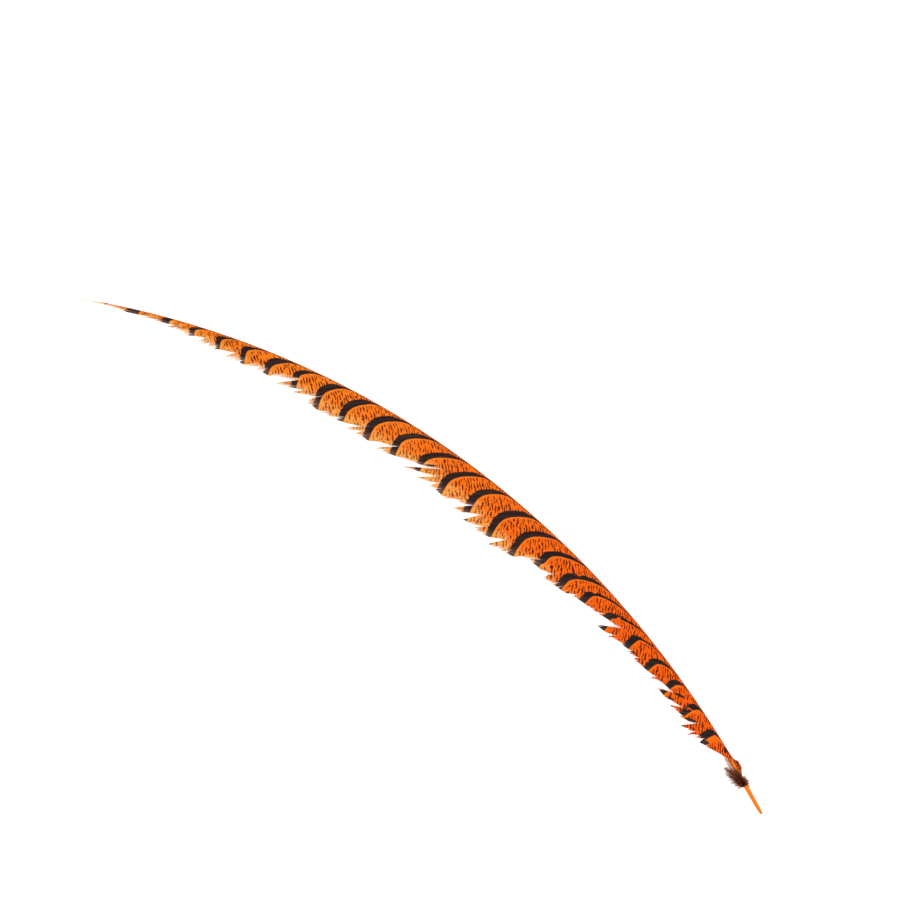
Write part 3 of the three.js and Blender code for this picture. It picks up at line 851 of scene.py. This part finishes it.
BARB_SECTION = {"Section Sides": 3, "Section Height": BARB_RIDGE, "Groove Depth": 0.0}
broad_web = web_material("barred_orange_web", 1.0)
broad_vane = grow("broad_vane_barbs", barb_points, broad_values, STRANDS,
                  {**BARB_SECTION, "Material": broad_web})
broad_vane.data.shade_flat()
lay_out_strips(broad_vane.data, 3, 5, barbs)
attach(broad_vane, "root")
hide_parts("broad_vane")

# ------------------------------------------------------------
# Narrow vane
# The outer web is narrow and folds down under the shaft to the surface. Its short barbs grow from
# the outer side of the shaft, and at the quill's end they stand out from it a little.

NARROW_VANE_FOOT = 38.5
NARROW_SPACING = 0.6
NARROW_STATIONS = 7
NARROW_LEAN = math.radians(38)
NARROW_WIDTH = 0.55
NARROW_TIP_WIDTH = 0.7
NARROW_RIM, NARROW_LOWEST = 1.5, 0.16
NARROW_SPREAD = [(38, 1.2), (41, 3.1), (45, 3.1), (50, 0.6), (58, 0.15), (140, 0.03), (748, 0.0)]
NARROW_BULGE = 0.15
NARROW_JITTER, NARROW_RAGGEDNESS = 0.12, 0.05
NARROW_ROOT_HEIGHT, NARROW_MARGIN_HEIGHT = 0.25, 0.25
NARROW_ROOT_FROM_EDGE, NARROW_STANDS_OUT = 0.04, 0.12
NARROW_FACES_UP, SPREAD_FACES_UP, SPREAD_WIDENS = 0.35, 1.5, 0.4

narrow_roots = np.arange(NARROW_VANE_FOOT, BROAD_VANE_END, NARROW_SPACING)
narrow_roots = narrow_roots + chance.normal(0, NARROW_JITTER, len(narrow_roots))
narrow_barbs = len(narrow_roots)
t = np.linspace(0, 1, NARROW_STATIONS)[None]
radius = shaft_radius(narrow_roots)
narrow_top = shaft_middle(narrow_roots) + NARROW_ROOT_HEIGHT * radius
drop = narrow_top - NARROW_MARGIN_HEIGHT
narrow_length = np.hypot(drop, drop / math.tan(NARROW_LEAN)) + NARROW_RIM
narrow_ends = 1 + chance.normal(0, NARROW_RAGGEDNESS, narrow_barbs)
run = narrow_length[:, None] * t * narrow_ends[:, None]
narrow_s = narrow_roots[:, None] + run * math.cos(NARROW_LEAN)
narrow_s = np.minimum(narrow_s, FEATHER_LENGTH - 2)
spread = smooth_at(NARROW_SPREAD, narrow_roots)[:, None]
narrow_z = narrow_top[:, None] - drop[:, None] * t * narrow_ends[:, None]
narrow_z = np.maximum(narrow_z, NARROW_LOWEST)
narrow_v = (NARROW_ROOT_FROM_EDGE * radius[:, None] - (NARROW_STANDS_OUT + spread) * t
            - NARROW_BULGE * np.sin(np.pi * t) * np.clip(drop / 6, 0, 1)[:, None])
heading = heading_at(narrow_s)
roll = chance.normal(0, BARB_ROLL, narrow_barbs)[:, None]
narrow_facing = facing_of(np.sin(heading) + roll * np.cos(heading),
                          -np.cos(heading) + roll * np.sin(heading),
                          NARROW_FACES_UP + SPREAD_FACES_UP * spread)
narrow_from_tip = narrow_length[:, None] * (1 - t)
tip_share = np.clip(narrow_from_tip / NARROW_RIM, 0, 1)
narrow_width = NARROW_WIDTH * (NARROW_TIP_WIDTH + (1 - NARROW_TIP_WIDTH) * tip_share)
narrow_width *= 1 + SPREAD_WIDENS * np.clip(spread, 0, 1)

# The under web is the broad web's pattern darkened all over with painted shade.
narrow_web = web_material("shaded_barred_orange_underweb", 0.64)
narrow_vane = grow("narrow_vane_barbs", place(narrow_s, narrow_v, narrow_z), {
    **bar_values(narrow_s, run), "along": narrow_s, "across": run,
    "width": narrow_width * MM * SECTION_SCALE, "facing": narrow_facing,
    "reach": t, "strand": np.arange(narrow_barbs)[:, None],
    "ladder": narrow_roots[:, None] + run, "row": 0.6 * narrow_roots[:, None],
    "dash_mark": (narrow_roots[:, None] + run) / DASH_STEP,
    "paleness": 0, "hair": 0.3 * np.clip(3 * t - 2, 0, 1),
    "from_tip": narrow_from_tip, "toss": chance.random(narrow_barbs)[:, None],
}, STRANDS, {**BARB_SECTION, "Material": narrow_web})
narrow_vane.data.shade_flat()
lay_out_strips(narrow_vane.data, 3, 4, narrow_barbs)
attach(narrow_vane, "root")
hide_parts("narrow_vane")

# ------------------------------------------------------------
# Down
# Where the quill ends, soft plumes without hooks grow all round the shaft. Each is a limp thread
# with fine barbules along both sides. The tuft is dark brown; paler wisps lie at the vane's foot.

PLUME_STATIONS = 11
CORE_PLUMES, CURL_PLUMES, FUZZ_PLUMES, WHISKERS = 280, 66, 56, 6
WISP_PLUMES = 62
PLUME_THICKNESS = (0.11, 0.18, 0.11, 0.2)
WISP_THICKNESS = 0.1
BARBULE_THICKNESS, BARBULE_TIP = 0.05, 0.35
BARBULE_AIMS = (-1, -1, -0.4), (1, 1, 0.7)
SHORTEST_BARBULE = 0.45
PLUME_LOWEST = 0.4
PLUME_ROOT_DEPTH, PLUME_TAPER, PLUME_WOBBLE = 0.15, 0.7, 0.12
FORWARD_AT_ROOT, FORWARD_GAIN, OUTWARD_LOSS, UPWARD_AT_ROOT = 0.25, 1.1, 0.4, 0.7
FACE_HALF_WIDTH, FACE_HALF_LENGTH, FACES_START, FACES_LENGTH = 0.42, 0.012, 0.02, 0.95
DOWN_DARK = (0.032, 0.0035, 0.0015, 1)
DOWN_BROWN = (0.095, 0.014, 0.006, 1)
DOWN_PALE = (0.55, 0.20, 0.09, 1)
WISP_PEACH = (0.84, 0.43, 0.23, 1)
TONE_OF_PLUME, TONE_ALONG, TONE_OF_CLOUD = 0.6, 0.82, 0.5


def plume_tree():
    """Geometry nodes that make each line a limp thread with barbules along it."""
    tree, sizes = new_tree("Plumes", {
        "Lines": "Geometry", "Barbule Length": "Float", "Barbule Thickness": "Float",
        "Barbule Spacing": "Float", "Seed": "Int", "Material": "Material"})
    lines = add_node("GeometryNodeMeshToCurve", {"Mesh": sizes["Lines"]})
    section = add_node("GeometryNodeCurvePrimitiveCircle", {"Resolution": 3, "Radius": 1.0},
                       0, tree, mode="RADIUS")
    threads = add_node("GeometryNodeCurveToMesh", {
        "Curve": lines, "Profile Curve": section, "Scale": stored(tree, "width", "FLOAT"),
        "Fill Caps": True})

    stands = add_node("GeometryNodeResampleCurve",
                      {"Curve": lines, "Length": sizes["Barbule Spacing"]}, mode="LENGTH")
    barbule = add_node("GeometryNodeMeshCone", {
        "Vertices": 3, "Radius Top": times(sizes["Barbule Thickness"], BARBULE_TIP),
        "Radius Bottom": sizes["Barbule Thickness"], "Depth": sizes["Barbule Length"],
    }, fill_type="NGON")
    tangent = tree.nodes.new("GeometryNodeInputTangent").outputs[0]
    sideways = add_node("FunctionNodeRandomValue", {
        "Min": BARBULE_AIMS[0], "Max": BARBULE_AIMS[1], "Seed": sizes["Seed"],
    }, data_type="FLOAT_VECTOR")
    aim = add_node("ShaderNodeVectorMath", {0: tangent, 1: sideways}, operation="ADD")
    turn = add_node("FunctionNodeAlignRotationToVector", {"Vector": aim}, axis="Z")
    size = add_node("FunctionNodeRandomValue",
                    {2: SHORTEST_BARBULE, 3: 1.0, "Seed": sizes["Seed"]}, 1, data_type="FLOAT")
    barbules = add_node("GeometryNodeInstanceOnPoints", {
        "Points": stands, "Instance": barbule, "Rotation": turn, "Scale": size})
    together = tree.nodes.new("GeometryNodeJoinGeometry")
    tree.links.new(threads, together.inputs[0])
    tree.links.new(barbules, together.inputs[0])
    return end_tree(together.outputs[0], sizes["Material"])


PLUMES = plume_tree()


def down_material(name, dark, middle, pale):
    """Down that goes from dark to pale with each plume's tone and along it."""
    material, tree, shader = new_material(name)
    tone = plus(times(attribute(tree, "tone"), TONE_OF_PLUME),
                times(attribute(tree, "reach"), TONE_ALONG))
    cloud = minus(noise(object_place(tree), 600.0, 2.0), 0.5)
    tone = plus(tone, times(cloud, TONE_OF_CLOUD))
    wire(shader.inputs["Base Color"], layered(
        dark, (step_between(tone, 0.35, 0.85), middle),
        (step_between(tone, 0.8, 1.3), pale)))
    wire(shader.inputs["Roughness"], plus(0.7, times(tone, 0.15)))
    shader.inputs["Specular IOR Level"].default_value = 0.03
    raise_grain(shader, tone, 0.00002, 0.5)
    return material


def plume_lines(root_s, root_turn, length, forward, droop, drift, curliness):
    """Lines of limp plumes from the shaft's skin at s and a turn round it, 0 being broadwards."""
    count = len(root_s)
    radius = shaft_radius(root_s) - PLUME_ROOT_DEPTH
    out_v, out_z = np.cos(root_turn), np.sin(root_turn)
    spot = np.stack((root_s, radius + PLUME_ROOT_DEPTH + radius * out_v,
                     shaft_middle(root_s) + radius * out_z), -1)
    curl = chance.normal(0, curliness, (count, 3))
    lines = [spot]
    for i in range(1, PLUME_STATIONS):
        share = i / PLUME_STATIONS
        aim = np.stack((forward * (FORWARD_AT_ROOT + FORWARD_GAIN * share),
                        out_v * (1 - OUTWARD_LOSS * share) + drift * share,
                        out_z * (UPWARD_AT_ROOT - share) - droop * share), -1)
        aim = aim + curl * share + chance.normal(0, PLUME_WOBBLE, (count, 3))
        aim /= np.linalg.norm(aim, axis=-1, keepdims=True)
        spot = spot + aim * (length / (PLUME_STATIONS - 1))[:, None]
        spot[:, 2] = np.maximum(spot[:, 2], PLUME_LOWEST)
        lines.append(spot)
    s, v, z = np.moveaxis(np.stack(lines, axis=1), -1, 0)
    return place(s, v, z)


def lay_out_faces(mesh, strips):
    """UV map for plumes: each face is a small patch at its plume's strip and its place along it."""
    point, strand, reach, first_corner, corners = read_corners(mesh)
    place_in_face = np.arange(len(point)) - np.repeat(first_corner, corners)
    angle = 2 * np.pi * place_in_face / np.repeat(corners, corners)
    across = (strand + 0.5 + FACE_HALF_WIDTH * np.cos(angle)) / strips
    along = FACES_START + FACES_LENGTH * reach + FACE_HALF_LENGTH * np.sin(angle)
    write_map(mesh, across, along)


def grow_down(name, lines, thickness, barbule_length, barbule_spacing, seed, tone, material):
    count = len(lines)
    reach = np.linspace(0, 1, PLUME_STATIONS)[None]
    piece = grow(name, lines, {
        "width": thickness[:, None] * MM * (1 - PLUME_TAPER * reach), "reach": reach,
        "strand": np.arange(count)[:, None], "tone": tone[:, None],
    }, PLUMES, {"Barbule Length": barbule_length * MM, "Barbule Spacing": barbule_spacing * MM,
                "Barbule Thickness": BARBULE_THICKNESS * MM, "Seed": seed, "Material": material})
    lay_out_faces(piece.data, count)
    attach(piece, "root")
    return piece


groups = np.repeat(np.arange(4), (CORE_PLUMES, CURL_PLUMES, FUZZ_PLUMES, WHISKERS))


def by_group(*limits):
    """A chance value for each plume of the tuft between the limits of its group."""
    low, high = np.array(limits, float)[groups].T
    return chance.uniform(low, high)


tuft_turn = by_group((-35, 115), (-45, 10), (100, 190), (150, 185))
tuft_length = by_group((5, 17.5), (4, 10), (2.5, 6), (6, 9))
tuft_length *= np.interp(tuft_turn, (20, 115), (1, 0.55))
tuft_lines = plume_lines(
    by_group((27.5, 38), (28, 36), (27.5, 36), (26, 32)), np.radians(tuft_turn), tuft_length,
    forward=by_group((2.2, 7.5), (0.0, 1.6), (0.2, 1.5), (-0.3, 0.3)), droop=0.5,
    drift=by_group((0.3, 1.1), (0.0, 0.4), (-0.4, 0.2), (-0.2, 0.2)),
    curliness=np.array((0.45, 0.95, 0.4, 0.12))[groups][:, None])
tuft = grow_down(
    "down_tuft_plumes", tuft_lines, thickness=np.array(PLUME_THICKNESS)[groups],
    barbule_length=1.25, barbule_spacing=0.2, seed=5,
    tone=by_group((0, 1.0), (0.8, 2.1), (0.2, 1.0), (0.8, 1.5)),
    material=down_material("dark_down", DOWN_DARK, DOWN_BROWN, DOWN_PALE))
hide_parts("down_tuft")

wisp_s = chance.uniform(39, 60, WISP_PLUMES)
wisp_turn = np.radians(chance.uniform(-45, 5, WISP_PLUMES))
wisp_length = chance.uniform(0.5, 1, WISP_PLUMES) * np.interp(wisp_s, (39, 50, 60), (10, 7.5, 4.5))
wisp_lines = plume_lines(
    wisp_s, wisp_turn, wisp_length, forward=chance.uniform(0.6, 2.4, WISP_PLUMES),
    droop=0.4, drift=0.2, curliness=0.75)
grow_down("vane_foot_wisps", wisp_lines, thickness=np.full(WISP_PLUMES, WISP_THICKNESS),
          barbule_length=1.1, barbule_spacing=0.36, seed=9, tone=chance.random(WISP_PLUMES),
          material=down_material("pale_down", DOWN_PALE, WISP_PEACH, WEB_HAIR))

# ------------------------------------------------------------
# Stage
# A plain pale table top, an even white room and one broad soft lamp.

bpy.ops.mesh.primitive_plane_add(size=8)
floor = bpy.context.object
floor.name = "table_top"
paper, tree, shader = new_material("pale_table")
shader.inputs["Base Color"].default_value = (0.94, 0.94, 0.94, 1)
shader.inputs["Roughness"].default_value = 0.9
shader.inputs["Emission Color"].default_value = (1, 1, 1, 1)
shader.inputs["Emission Strength"].default_value = 0.4
floor.data.materials.append(paper)

world = bpy.data.worlds.new("white_room")
bpy.context.scene.world = world
world.use_nodes = True
background = world.node_tree.nodes["Background"].inputs
background["Color"].default_value = (1, 1, 1, 1)
background["Strength"].default_value = 0.72

lamp_data = bpy.data.lights.new("soft_box", "AREA")
lamp_data.shape = "DISK"
lamp_data.size = 1.1
lamp_data.energy = 20
lamp = put_in_scene("soft_box", lamp_data)
lamp.location = (0.15, -0.45, 1.95)
lamp.rotation_euler = (math.radians(12), math.radians(4), 0)

CAMERA_LENS = 85.0
CAMERA_SENSOR = 36.0
FRAME_WIDTH = 0.7679
camera_data = bpy.data.cameras.new("camera")
camera_data.lens = CAMERA_LENS
camera_data.sensor_width = CAMERA_SENSOR
camera = put_in_scene("camera", camera_data)
camera.location = (0.0337, -0.0440, FRAME_WIDTH * CAMERA_LENS / CAMERA_SENSOR + 0.004)
camera.rotation_euler = (0, 0, math.radians(-143.06))
bpy.context.scene.camera = camera
bpy.context.scene.view_settings.view_transform = "Standard"
